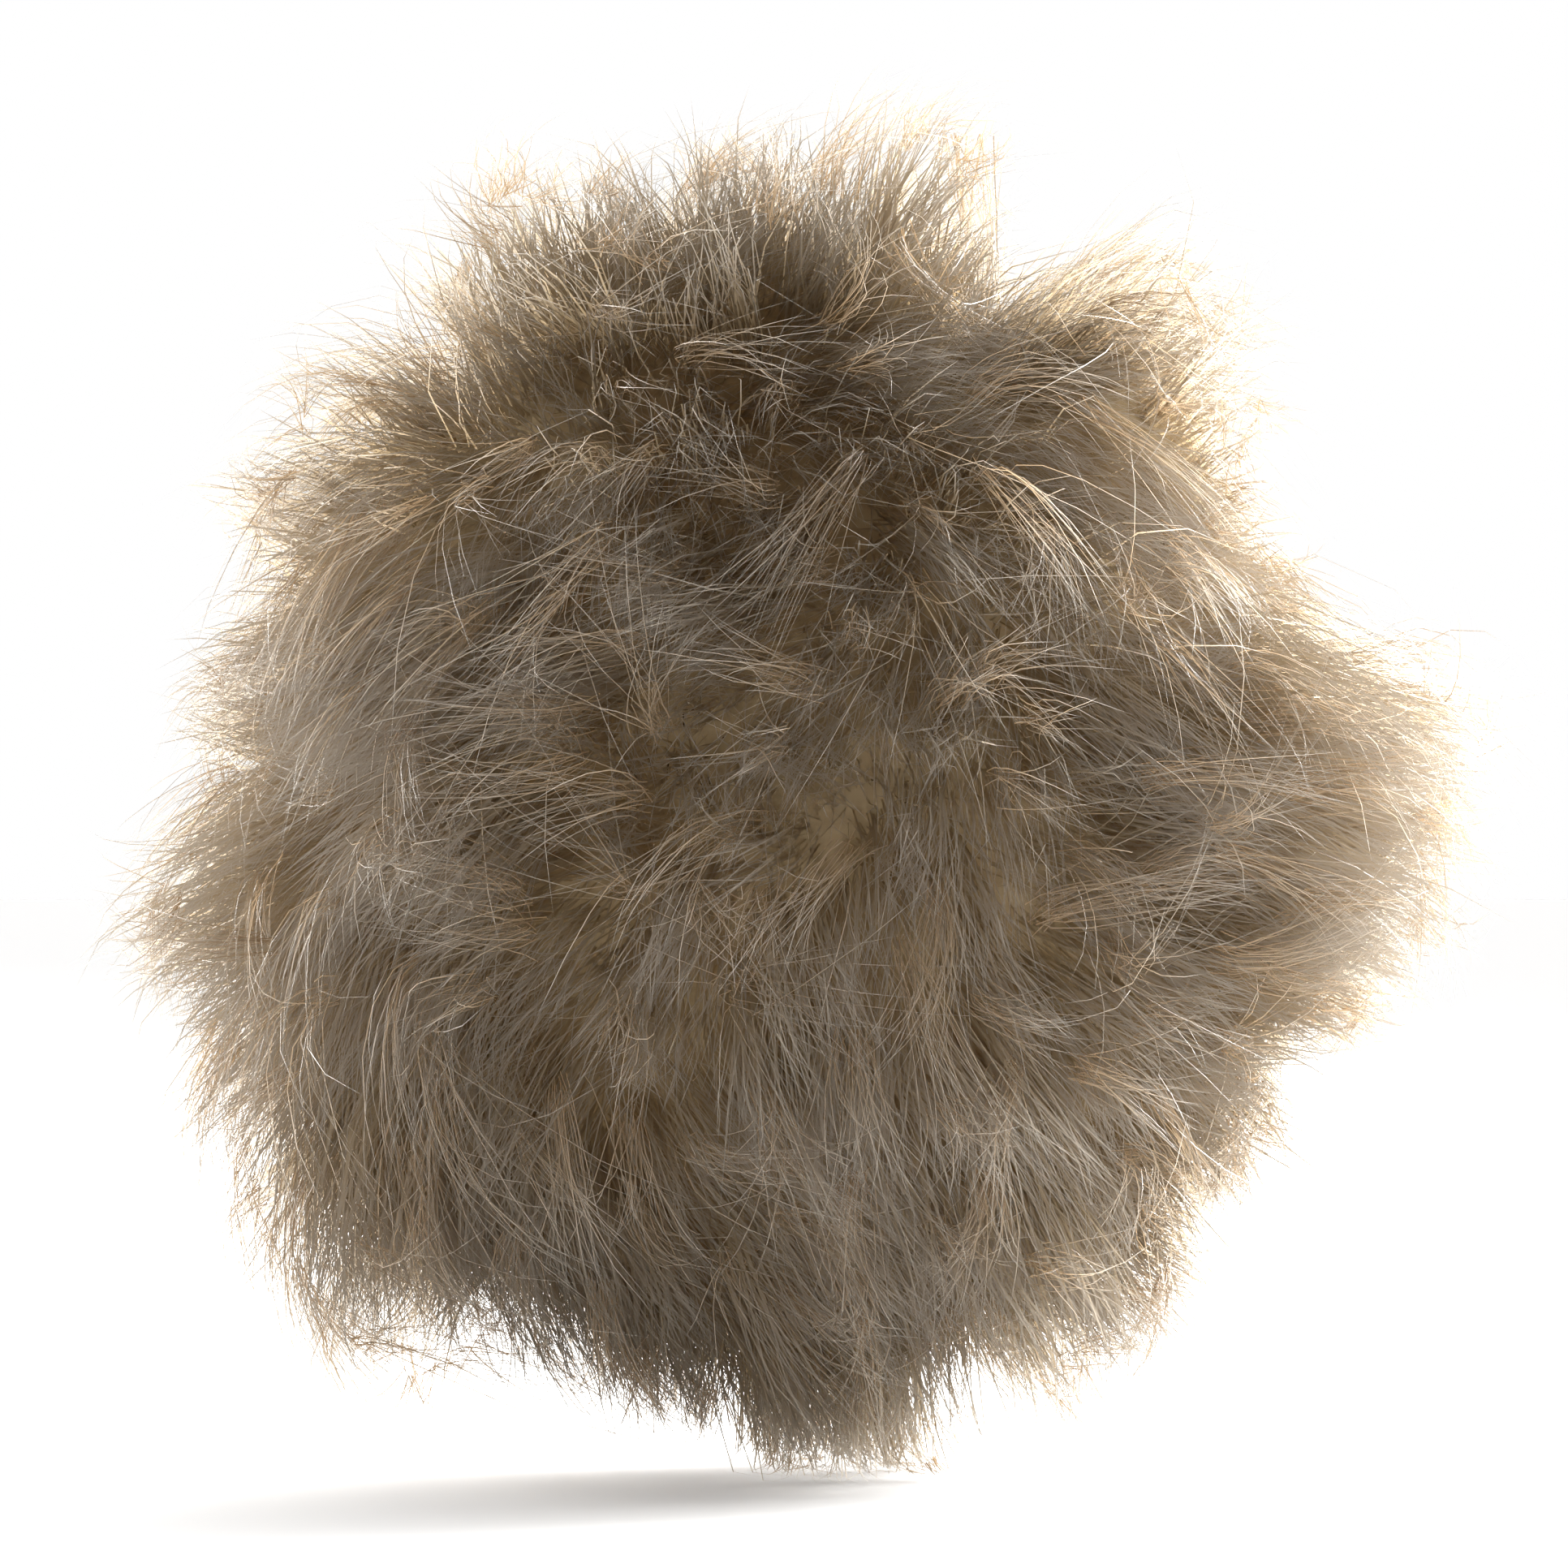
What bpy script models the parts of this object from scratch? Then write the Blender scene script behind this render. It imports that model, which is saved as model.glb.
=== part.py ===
"""A beige faux-fur pom-pom, about 100 mm across, standing on a small flat spot of pressed fur.

The real one is a circle of long-pile fur fabric, gathered with a running thread over a ball of
stuffing, so it is one piece: a ball with pile on it. The pile is 25 to 30 mm long and lies over
itself, so what shows is a dense lumpy mass with locks standing out of it, and that is how this
solid is made. Each face of an uneven icosphere grows one lock of three or four sides. The locks
follow one continuous combing of space, so neighbours lean the same way and don't run through each
other. The five lowest faces grow together into the pressed tuft that the ball stands on.
"""

import math

import bmesh
import bpy
import numpy as np

MM = 0.001

# Driving dimensions, in millimetres
CENTRE_HEIGHT = 49.0  # the middle of the ball over the surface it stands on
FRONT_REACH = 46.5  # from the middle to the tips that point at the viewer, and to those behind
MASS_SHARE = 0.66  # the valleys between locks, as a share of the reach of the tips
FLAT_SPOT_ASIDE = 4.0  # the middle of the pressed fur that the ball stands on, right of the ball's
PRESSED_FUR = 3.0  # how much longer than its room the fur round the flat spot is
PRESSED_WITHIN = (9.0, 21.0)  # degrees from the flat spot: all of it is pressed, none of it is
UNCOMBED_WITHIN = (14.0, 34.0)  # degrees from the flat spot: none of it leans, all of it does
SETTLE_HEIGHT = 5.0  # below this height the lowest locks bend out level with the surface
SETTLE_CLEARANCE = 0.35  # the lowest locks stay this far over the flat spot's plane

BALL_DIVISIONS = 3  # of the icosphere, which then has 320 faces
PRESSED_BELOW = 0.95  # the faces further down than this on a ball of radius 1 make the pressed tuft
WIDE_LOCKS = 22  # pairs of faces that grow one four-sided lock instead of two three-sided ones
LOCK_STEPS = 6  # stretches along each lock
PRESSED_STEPS = 4  # stretches down the pressed tuft
LOCK_TAPER = 0.42  # under 1 keeps a lock full for most of its length
SHORTEST_LOCK = 0.94  # as a share of the longest beside it
LEAN_SPREAD = 24.0  # degrees over which a tuft's lean fades into its neighbours'
GATHER = 0.32  # how far the tips draw in towards the middle of their tuft
TUFT_FALL = 0.10  # how much shorter the fur is at the edge of a tuft
LOOSE_TUFTS = 110  # even points on the ball that fill in where the tables below name no tuft
LOOSE_TUFT_GAP = 19.0  # degrees that a loose tuft keeps from any other
FOOT_TUFT_GAP = 46.0  # and from the one that stands on the surface

# The outline seen from the front, tips and notches in turn
# Columns: clock angle in degrees from the top, reach of the fur from the middle in mm
OUTLINE = (
    (-2, 51.0),
    (5, 51.0),
    (11, 52.6),
    (17, 54.6),
    (21, 46.0),
    (25, 45.6),
    (30, 50.0),
    (36, 53.6),
    (41, 52.4),
    (49, 50.0),
    (54, 43.5),
    (60, 45.6),
    (66, 44.6),
    (72, 46.6),
    (79, 49.5),
    (83, 52.0),
    (90, 51.5),
    (99, 51.0),
    (105, 49.0),
    (111, 46.8),
    (118, 43.3),
    (124, 44.5),
    (130, 45.0),
    (138, 47.8),
    (147, 48.0),
    (156, 48.6),
    (162, 43.6),
    (168, 50.5),
    (177, 49.8),
    (184, 48.0),
    (192, 47.6),
    (203, 46.8),
    (209, 46.2),
    (214, 53.4),
    (223, 54.4),
    (231, 53.0),
    (239, 51.4),
    (246, 50.4),
    (254, 51.2),
    (261, 52.6),
    (269, 47.6),
    (278, 47.2),
    (283, 48.6),
    (291, 48.0),
    (298, 48.8),
    (305, 49.2),
    (312, 50.4),
    (319, 47.4),
    (325, 53.2),
    (335, 53.0),
    (346, 51.2),
)

# The tufts that stand out of the outline, in its plane
# Columns: clock angle of the roots in degrees, degrees that the tips are combed clockwise
OUTLINE_TUFTS = (
    (-8, 2),
    (11, 9),
    (36, 6),
    (50, 2),
    (66, 4),
    (80, 2),
    (91, 2),
    (103, 4),
    (126, 4),
    (140, 0),
    (154, -4),
    (225, -10),
    (242, -10),
    (262, -6),
    (282, 0),
    (300, -8),
    (316, -5),
    (331, -4),
)

# The tufts on the face towards the viewer, read from the picture
# Columns: mm right of the middle, mm above it, clock angle that the tips point to, lean in degrees
FACE_TUFTS = (
    (-11.0, 43.0, 352, 14),
    (1.0, 42.5, 5, 14),
    (-19.0, 36.0, 322, 10),
    (-13.5, 35.0, 118, 10),
    (4.5, 31.0, 128, 16),
    (14.0, 35.0, 68, 16),
    (-17.0, 26.5, 198, 18),
    (-29.5, 23.5, 226, 22),
    (-5.5, 23.0, 268, 20),
    (14.5, 21.5, 186, 22),
    (24.5, 17.5, 118, 16),
    (32.0, 10.5, 108, 20),
    (-12.0, 14.5, 252, 18),
    (1.0, 15.5, 250, 6),
    (8.5, 11.5, 196, 20),
    (-26.5, 8.5, 216, 22),
    (-39.0, 6.0, 276, 16),
    (-3.5, 7.5, 272, 16),
    (11.5, 5.5, 120, 4),
    (20.5, -4.0, 92, 22),
    (36.5, -3.5, 96, 20),
    (-1.5, -4.5, 200, 12),
    (-31.5, -6.5, 184, 24),
    (-41.0, -10.0, 244, 18),
    (-20.5, -12.5, 262, 14),
    (8.0, -14.0, 168, 26),
    (22.0, -15.0, 118, 16),
    (-23.0, -25.5, 180, 26),
    (-9.0, -20.5, 150, 18),
    (-35.0, -27.5, 186, 24),
    (-6.5, -31.0, 138, 24),
    (3.5, -30.5, 162, 24),
    (14.0, -29.5, 170, 22),
    (26.0, -24.0, 124, 22),
    (20.5, -36.0, 132, 18),
    (-17.0, -38.5, 188, 18),
    (5.0, -40.5, 170, 16),
)

# The fur that isn't seen from the front hangs a little and swirls round the upright axis
LOOSE_DROOP = 12.0  # degrees
LOOSE_SWIRL = 7.0  # degrees

BODY_COLOUR = (0.36, 0.30, 0.235, 1.0)
BODY_ROUGHNESS = 0.9
JITTER = 0.030  # on the unit ball, so that the locks are of uneven width
SEED = 20

CENTRE = np.array([0.0, 0.0, CENTRE_HEIGHT])


def unit(v):
    """v made one long, row by row."""
    return v / np.linalg.norm(v, axis=-1, keepdims=True)


TO_FLAT_SPOT = unit(np.array([FLAT_SPOT_ASIDE, 0.0, -CENTRE_HEIGHT]))


def clock_direction(clock):
    """The direction of a clock angle in the outline's plane: 0 is up, 90 is right."""
    a = math.radians(clock)
    return np.array([math.sin(a), 0.0, math.cos(a)])


def flat_on_ball(n, v):
    """The part of v that lies flat on the ball at n."""
    return v - n * np.sum(n * v, axis=-1, keepdims=True)


def eased(share):
    """A share from 0 to 1 that starts and ends gently."""
    share = np.clip(share, 0, 1)
    return share * share * (3 - 2 * share)


def even_points(count):
    """Points spread evenly over a ball along a golden-angle spiral."""
    k = np.arange(count) + 0.5
    height = 1 - 2 * k / count
    turn = k * math.pi * (3 - math.sqrt(5))
    ring = np.sqrt(1 - height**2)
    return np.stack([ring * np.cos(turn), ring * np.sin(turn), height], axis=1)


def tufts():
    """The directions of all the tufts' roots, and which way and how far each leans."""
    roots, leans = [], []
    for clock, combed in OUTLINE_TUFTS:
        n = clock_direction(clock)
        roots.append(n)
        leans.append(clock_direction(clock + 90) * math.radians(combed))
    for across, up, clock, lean in FACE_TUFTS:
        depth = math.sqrt(max(FRONT_REACH**2 - across**2 - up**2, 0.0))
        n = unit(np.array([across, -depth, up]))
        way = unit(flat_on_ball(n, clock_direction(clock)))
        roots.append(n)
        leans.append(way * math.radians(lean))
    roots.append(TO_FLAT_SPOT)
    leans.append(np.zeros(3))
    down, upright = np.array([0.0, 0.0, -1.0]), np.array([0.0, 0.0, 1.0])
    nearest = math.cos(math.radians(LOOSE_TUFT_GAP))
    off_the_foot = math.cos(math.radians(FOOT_TUFT_GAP))
    for n in even_points(LOOSE_TUFTS):
        if n @ TO_FLAT_SPOT < off_the_foot and np.max(np.array(roots) @ n) < nearest:
            droop = flat_on_ball(n, down) * math.radians(LOOSE_DROOP)
            swirl = np.cross(upright, n) * math.radians(LOOSE_SWIRL)
            roots.append(n)
            leans.append(droop + swirl)
    return np.array(roots), np.array(leans)


TUFT_ROOTS, TUFT_LEANS = tufts()


def nearest_tuft(n):
    """The direction of the root of the tuft that is nearest to n."""
    return TUFT_ROOTS[np.argmax(TUFT_ROOTS @ n)]


def lean_at(n):
    """How the fur at the directions n is combed.

    It is the mean of the leans of the tufts near by, weighed by a bell curve. Round the flat spot it
    fades to none, because the fur there is pressed.
    """
    spread = math.radians(LEAN_SPREAD)
    weight = np.exp((n @ TUFT_ROOTS.T - 1) / spread**2)
    mean = weight @ TUFT_LEANS / weight.sum(axis=1, keepdims=True)
    uncombed, combed = np.cos(np.radians(UNCOMBED_WITHIN))
    share = eased((uncombed - n @ TO_FLAT_SPOT) / (uncombed - combed))
    return flat_on_ball(n, mean) * share[:, None]


def reach_at(n):
    """How far the tips reach in the directions n.

    It is the outline near the outline's plane, an even ball elsewhere, and the room down to the
    surface round the flat spot.
    """
    clock = np.degrees(np.arctan2(n[:, 0], n[:, 2])) % 360
    angles, reaches = np.array(OUTLINE, float).T
    outline = np.interp(clock, angles % 360, reaches, period=360)
    rim = np.hypot(n[:, 0], n[:, 2])
    reach = FRONT_REACH + (outline - FRONT_REACH) * eased((rim - 0.72) / 0.24)
    pressed, free = np.radians(PRESSED_WITHIN)
    from_flat_spot = np.arccos(np.clip(n @ TO_FLAT_SPOT, -1, 1))
    room = (CENTRE_HEIGHT + PRESSED_FUR) / np.maximum(-n[:, 2], math.cos(2 * free))
    return reach + (room - reach) * eased((free - from_flat_spot) / (free - pressed))


def settled(p):
    """Points below the settling height come to rest over the surface, in the same order."""
    z = p[:, 2]
    span = SETTLE_HEIGHT - SETTLE_CLEARANCE
    low = SETTLE_CLEARANCE + span * np.exp((z - SETTLE_HEIGHT) / span)
    out = p.copy()
    out[:, 2] = np.where(z < SETTLE_HEIGHT, low, z)
    return out


def grown(n, s, middle):
    """Where the fur rooted at the directions n is at the share s of its length, in mm.

    The direction draws in towards the middle of its tuft and leans as the fur is combed. The
    distance from the ball's middle goes from the valleys to the reach of the tips.
    """
    edge = np.linalg.norm(n - middle, axis=1) / math.radians(LOOSE_TUFT_GAP)
    drawn = unit(n + (middle - n) * GATHER * s**1.5)
    leant = unit(drawn + lean_at(drawn) * s**1.6)
    tip = unit(unit(n + (middle - n) * GATHER) + lean_at(n))
    top = reach_at(tip) * (1 - TUFT_FALL * np.clip(edge, 0, 1.2) ** 2)
    low = MASS_SHARE * reach_at(n)
    return settled(CENTRE + leant * (low + (top - low) * s)[:, None])


def lock_width(s):
    """How wide a lock is at the share s of its length: full at the root, then ever faster to a point."""
    return (1 - s) ** LOCK_TAPER


def place(verts, points):
    """Moves mesh points, given in mm."""
    for vert, point in zip(verts, points):
        vert.co = (float(point[0]) * MM, float(point[1]) * MM, float(point[2]) * MM)


def is_pressed(face):
    """Whether a face of the ball is one of those round its lowest point."""
    return np.array(face.calc_center_median()) @ TO_FLAT_SPOT > PRESSED_BELOW


def uneven_ball():
    """A ball of radius 1 with its points pushed about a little and some pairs of faces joined.

    Its lowest point lies over the flat spot. The uneven faces make locks of uneven width.
    """
    mesh = bmesh.new()
    bmesh.ops.create_icosphere(mesh, subdivisions=BALL_DIVISIONS, radius=1.0)
    chance = np.random.default_rng(SEED)
    points = np.array([v.co for v in mesh.verts])
    side, back = np.array([-TO_FLAT_SPOT[2], 0.0, TO_FLAT_SPOT[0]]), np.array([0.0, 1.0, 0.0])
    points = points @ np.array([side, back, -TO_FLAT_SPOT])
    points = unit(points + chance.normal(0, JITTER, points.shape))
    for vert, point in zip(mesh.verts, points):
        vert.co = point
    joined = []
    mesh.edges.ensure_lookup_table()
    for k in chance.permutation(len(mesh.edges)):
        edge = mesh.edges[k]
        taken = any(face.tag or is_pressed(face) for face in edge.link_faces)
        if len(joined) < WIDE_LOCKS and not taken:
            for face in edge.link_faces:
                face.tag = True
            joined.append(edge)
    bmesh.ops.dissolve_edges(mesh, edges=joined)
    return mesh


def grow_lock(mesh, face, length):
    """Extrudes one face into a lock that ends in a point, at a share of its full length."""
    corners = np.array([v.co for v in face.verts])
    middle = unit(corners.mean(axis=0))
    tuft = nearest_tuft(middle)
    for step in range(1, LOCK_STEPS + 1):
        s = step / LOCK_STEPS
        face = bmesh.ops.extrude_discrete_faces(mesh, faces=[face])["faces"][0]
        ring = unit(middle + (corners - middle) * lock_width(s))
        place(face.verts, grown(ring, s * length, tuft))
    bmesh.ops.pointmerge(mesh, verts=list(face.verts), merge_co=face.verts[0].co)


def grow_pressed_tuft(mesh, faces):
    """Extrudes the lowest faces together, down to the flat spot that the ball stands on."""
    rings = []
    for _ in range(PRESSED_STEPS):
        region = bmesh.ops.extrude_face_region(mesh, geom=faces)["geom"]
        bmesh.ops.delete(mesh, geom=faces, context="FACES_ONLY")
        faces = [item for item in region if isinstance(item, bmesh.types.BMFace)]
        rings.append([item for item in region if isinstance(item, bmesh.types.BMVert)])
    for step, ring in enumerate(rings, start=1):
        directions = np.array([vert.co for vert in ring])
        place(ring, grown(directions, step / PRESSED_STEPS, TO_FLAT_SPOT))
    for vert in rings[-1]:
        vert.co.z = 0.0


def fur_ball():
    """The whole pom-pom as one closed mesh."""
    mesh = uneven_ball()
    pressed = [face for face in mesh.faces if is_pressed(face)]
    locks = [face for face in mesh.faces if not is_pressed(face)]
    roots = list(mesh.verts)
    root_directions = np.array([v.co for v in roots])
    lengths = np.random.default_rng(SEED).uniform(SHORTEST_LOCK, 1.0, len(locks))
    for face, length in zip(locks, lengths):
        grow_lock(mesh, face, length)
    grow_pressed_tuft(mesh, pressed)
    place(roots, grown(root_directions, 0.0, root_directions))
    bmesh.ops.recalc_face_normals(mesh, faces=mesh.faces)
    bmesh.ops.triangulate(mesh, faces=mesh.faces)
    return mesh


def stand_on_origin(mesh):
    """Slides the mesh sideways until the origin is at the bottom centre of its box."""
    points = np.array([v.co for v in mesh.verts])
    shift = -(points.min(axis=0) + points.max(axis=0)) / 2
    shift[2] = 0.0
    bmesh.ops.translate(mesh, verts=mesh.verts, vec=shift)


def fur_material():
    """Beige modacrylic pile, matt as a mass."""
    material = bpy.data.materials.new("beige_faux_fur")
    material.use_nodes = True
    shader = material.node_tree.nodes["Principled BSDF"]
    shader.inputs["Base Color"].default_value = BODY_COLOUR
    shader.inputs["Roughness"].default_value = BODY_ROUGHNESS
    shader.inputs["Metallic"].default_value = 0.0
    return material


def main():
    for old in list(bpy.data.objects):
        bpy.data.objects.remove(old, do_unlink=True)
    mesh = fur_ball()
    stand_on_origin(mesh)
    data = bpy.data.meshes.new("fur_ball")
    mesh.to_mesh(data)
    mesh.free()
    data.materials.append(fur_material())
    ball = bpy.data.objects.new("fur_ball", data)
    bpy.context.scene.collection.objects.link(ball)


main()
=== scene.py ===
# %% [markdown]
# # A faux-fur pom-pom
# The real thing is a circle of long-pile fur fabric that is gathered over a ball of stuffing. What
# the eye gets is only the pile: some hundred thousand fine fibres, in tufts that lean this way and
# that, with paler tips that cross each other. This notebook grows that pile, fibre by fibre, as
# whole numpy arrays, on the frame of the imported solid.

# %% The frame
import math

import bpy
import numpy as np
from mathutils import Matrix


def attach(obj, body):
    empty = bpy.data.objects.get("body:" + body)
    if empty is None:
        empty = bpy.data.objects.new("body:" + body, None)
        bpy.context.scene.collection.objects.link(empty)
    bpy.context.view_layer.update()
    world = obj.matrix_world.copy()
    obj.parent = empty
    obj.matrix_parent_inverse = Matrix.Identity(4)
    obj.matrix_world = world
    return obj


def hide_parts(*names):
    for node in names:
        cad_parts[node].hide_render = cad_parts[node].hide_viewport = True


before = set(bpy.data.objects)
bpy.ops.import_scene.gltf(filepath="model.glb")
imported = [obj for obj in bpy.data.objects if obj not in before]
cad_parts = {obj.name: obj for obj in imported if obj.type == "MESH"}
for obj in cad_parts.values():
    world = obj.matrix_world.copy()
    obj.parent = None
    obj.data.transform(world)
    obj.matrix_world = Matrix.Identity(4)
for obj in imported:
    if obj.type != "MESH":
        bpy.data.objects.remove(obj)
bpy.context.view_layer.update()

MM = 0.001

# %% [markdown]
# ## The camera
# The picture looks at the ball level from the front, from some way off. Its frame is 1932 pixels
# wide, and the ball's 99 mm measure about 16.8 pixels a millimetre. So the width of the frame
# gives the lens, and the place of the ball in the frame gives the point that the camera looks at.

# %% The camera
FRAME_PIXELS = 1932
PIXELS_PER_MM = 16.8
ORIGIN_PIXEL = (985, 1815)  # where the middle of the flat spot's plane lies in the picture
CAMERA_DISTANCE = 600.0  # mm from the ball's middle
SENSOR = 36.0

look_x = (FRAME_PIXELS / 2 - ORIGIN_PIXEL[0]) / PIXELS_PER_MM
look_z = (ORIGIN_PIXEL[1] - FRAME_PIXELS / 2) / PIXELS_PER_MM
camera_data = bpy.data.cameras.new("camera")
camera_data.sensor_width = SENSOR
camera_data.lens = SENSOR * CAMERA_DISTANCE / (FRAME_PIXELS / PIXELS_PER_MM)
camera_data.clip_start = 0.01
camera = bpy.data.objects.new("camera", camera_data)
camera.location = (look_x * MM, -CAMERA_DISTANCE * MM, look_z * MM)
camera.rotation_euler = (math.radians(90), 0, 0)
bpy.context.scene.collection.objects.link(camera)
bpy.context.scene.camera = camera
print("camera looks at x %.1f, z %.1f mm with a %.0f mm lens" % (look_x, look_z, camera_data.lens))

# %% [markdown]
# ## How the fur is combed
# Fur isn't combed fibre by fibre. A hand, or the ball's last squeeze, leaves tufts, and the fibres
# of a tuft lean together. So the combing is a field over the ball: a short table of tufts, each
# with the way that it leans, and between them the fibres take the mean of their neighbours. The
# outline's tufts and the tufts on the face are read from the picture. The others hang a little.

# %% The tables of the combing
BALL_MIDDLE = np.array([-0.34, 0.84, 49.0])  # mm
FRONT_REACH = 46.5  # mm from the middle to the tips, where the outline doesn't say
LOOSE_TUFTS = 110
LOOSE_TUFT_GAP = 19.0  # degrees that a loose tuft keeps from any other
FOOT_TUFT_GAP = 46.0  # and from the one that stands on the surface
LOOSE_DROOP = 12.0  # degrees
LOOSE_SWIRL = 7.0  # degrees
FLAT_SPOT_ASIDE = 4.0  # mm, the middle of the pressed fur, right of the ball's

# Columns: clock angle in degrees from the top, reach of the fur from the middle in mm
OUTLINE = (
    (0, 52),
    (6, 51),
    (11, 56),
    (17, 57),
    (22, 40),
    (26, 41),
    (31, 50),
    (36, 57),
    (42, 50.5),
    (49, 51),
    (55, 43),
    (66, 44),
    (73, 42),
    (79, 51),
    (84, 57),
    (91, 52),
    (99, 52.5),
    (106, 49.5),
    (112, 49),
    (118, 42),
    (124, 47),
    (131, 45.5),
    (139, 47.5),
    (148, 51.5),
    (156, 53),
    (162, 44),
    (168, 48.5),
    (177, 49),
    (184, 48),
    (193, 49),
    (209, 47.5),
    (214, 57),
    (223, 56.5),
    (232, 54),
    (240, 52),
    (247, 49),
    (256, 52),
    (262, 52.5),
    (269, 45.5),
    (282, 47.5),
    (291, 43),
    (298, 50.5),
    (305, 49),
    (312, 53),
    (319, 43.5),
    (326, 52),
    (335, 55.5),
    (346, 50.5),
)

# Columns: clock angle of the roots in degrees, degrees that the tips are combed clockwise
OUTLINE_TUFTS = (
    (-8, 2),
    (11, 14),
    (36, 11),
    (50, 2),
    (66, 4),
    (80, 2),
    (91, 2),
    (103, 4),
    (126, 4),
    (140, 0),
    (154, -4),
    (225, -10),
    (242, -10),
    (262, -6),
    (282, 0),
    (300, -8),
    (316, -5),
    (331, -4),
)

# Columns: mm right of the middle, mm above it, clock angle that the tips point to, lean in degrees
FACE_TUFTS = (
    (-11.0, 43.0, 352, 14),
    (1.0, 42.5, 5, 12),
    (-9.0, 38.5, 75, 13),
    (2.5, 37.0, 72, 14),
    (-19.0, 36.0, 322, 10),
    (-13.5, 35.0, 118, 10),
    (4.5, 31.0, 128, 16),
    (-2.5, 28.5, 165, 15),
    (14.0, 35.0, 68, 16),
    (-17.0, 26.5, 198, 18),
    (-29.5, 23.5, 226, 22),
    (-5.5, 23.0, 268, 20),
    (14.5, 21.5, 186, 22),
    (24.5, 17.5, 118, 16),
    (32.0, 10.5, 108, 20),
    (-12.0, 14.5, 252, 18),
    (1.0, 15.5, 250, 6),
    (3.5, 24.5, 215, 18),
    (8.5, 11.5, 196, 20),
    (-26.5, 8.5, 216, 22),
    (-39.0, 6.0, 276, 16),
    (-3.5, 7.5, 272, 16),
    (11.5, 5.5, 120, 4),
    (20.5, -4.0, 92, 22),
    (36.5, -3.5, 96, 20),
    (2.5, 3.5, 190, 14),
    (-1.5, -4.5, 200, 12),
    (-31.5, -6.5, 184, 24),
    (-41.0, -10.0, 244, 18),
    (-20.5, -12.5, 262, 14),
    (8.0, -14.0, 168, 26),
    (22.0, -15.0, 118, 16),
    (-23.0, -25.5, 180, 26),
    (-9.0, -20.5, 150, 18),
    (-35.0, -27.5, 186, 24),
    (-6.5, -31.0, 138, 24),
    (3.5, -30.5, 162, 24),
    (14.0, -29.5, 170, 22),
    (26.0, -24.0, 124, 22),
    (20.5, -36.0, 132, 18),
    (-17.0, -38.5, 188, 18),
    (5.0, -40.5, 170, 16),
)


# %% Directions on the ball
def unit(v):
    """v made one long, row by row."""
    return v / np.linalg.norm(v, axis=-1, keepdims=True)


def clock_direction(clock):
    """The direction of a clock angle in the outline's plane: (sin, 0, cos), so 0 is up and 90 right."""
    a = math.radians(clock)
    return np.array([math.sin(a), 0.0, math.cos(a)])


def flat_on_ball(n, v):
    """The part of v that lies flat on the ball at n: v less n times their dot product."""
    return v - n * np.sum(n * v, axis=-1, keepdims=True)


def eased(share):
    """3 s^2 - 2 s^3 of the share s, held between 0 and 1."""
    share = np.clip(share, 0, 1)
    return share * share * (3 - 2 * share)


def even_points(count):
    """Point k of a golden-angle spiral: even steps down the axis, turned by 137.5 degrees each."""
    k = np.arange(count) + 0.5
    height = 1 - 2 * k / count
    turn = k * math.pi * (3 - math.sqrt(5))
    ring = np.sqrt(1 - height**2)
    return np.stack([ring * np.cos(turn), ring * np.sin(turn), height], axis=1)


TO_FLAT_SPOT = unit(np.array([FLAT_SPOT_ASIDE, 0.0, -BALL_MIDDLE[2]]))


# %% The tufts' roots and leans
def tufts():
    """The tables as unit vectors: the root of each tuft, and its lean flat on the ball in radians."""
    roots, leans = [], []
    for clock, combed in OUTLINE_TUFTS:
        roots.append(clock_direction(clock))
        leans.append(clock_direction(clock + 90) * math.radians(combed))
    for across, up, clock, lean in FACE_TUFTS:
        depth = math.sqrt(max(FRONT_REACH**2 - across**2 - up**2, 0.0))
        n = unit(np.array([across, -depth, up]))
        roots.append(n)
        leans.append(unit(flat_on_ball(n, clock_direction(clock))) * math.radians(lean))
    roots.append(TO_FLAT_SPOT)
    leans.append(np.zeros(3))
    down, upright = np.array([0.0, 0.0, -1.0]), np.array([0.0, 0.0, 1.0])
    nearest = math.cos(math.radians(LOOSE_TUFT_GAP))
    off_the_foot = math.cos(math.radians(FOOT_TUFT_GAP))
    for n in even_points(LOOSE_TUFTS):
        if n @ TO_FLAT_SPOT < off_the_foot and np.max(np.array(roots) @ n) < nearest:
            droop = flat_on_ball(n, down) * math.radians(LOOSE_DROOP)
            swirl = np.cross(upright, n) * math.radians(LOOSE_SWIRL)
            roots.append(n)
            leans.append(droop + swirl)
    return np.array(roots), np.array(leans)


TUFT_ROOTS, TUFT_LEANS = tufts()
print(len(TUFT_ROOTS), "tufts")

# %% The fields that every fibre follows
LEAN_SPREAD = 11.0  # degrees over which a tuft's lean fades into its neighbours'
LEAST_LEAN = 8.0  # degrees on the face, so that no fibre there stands with its end to the eye
LEAST_WITHIN = (0.55, 0.85)  # of the way from the middle to the outline: all of that, none of it
UNCOMBED_WITHIN = (14.0, 34.0)  # degrees from the flat spot: none of it leans, all of it does
PRESSED_FUR = 9.0  # mm, how much longer than its room the fur round the flat spot is
PRESSED_WITHIN = (4.5, 13.0)  # degrees aside of the flat spot: all of it is pressed, none of it is
PRESSED_DEPTH = 0.5  # of those degrees, for each degree to the front or the back: the foot is long
# Of the way out: where the outline's table starts to count, and how much further it counts in full
OUTLINE_FROM, OUTLINE_FADE = 0.72, 0.24


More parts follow.
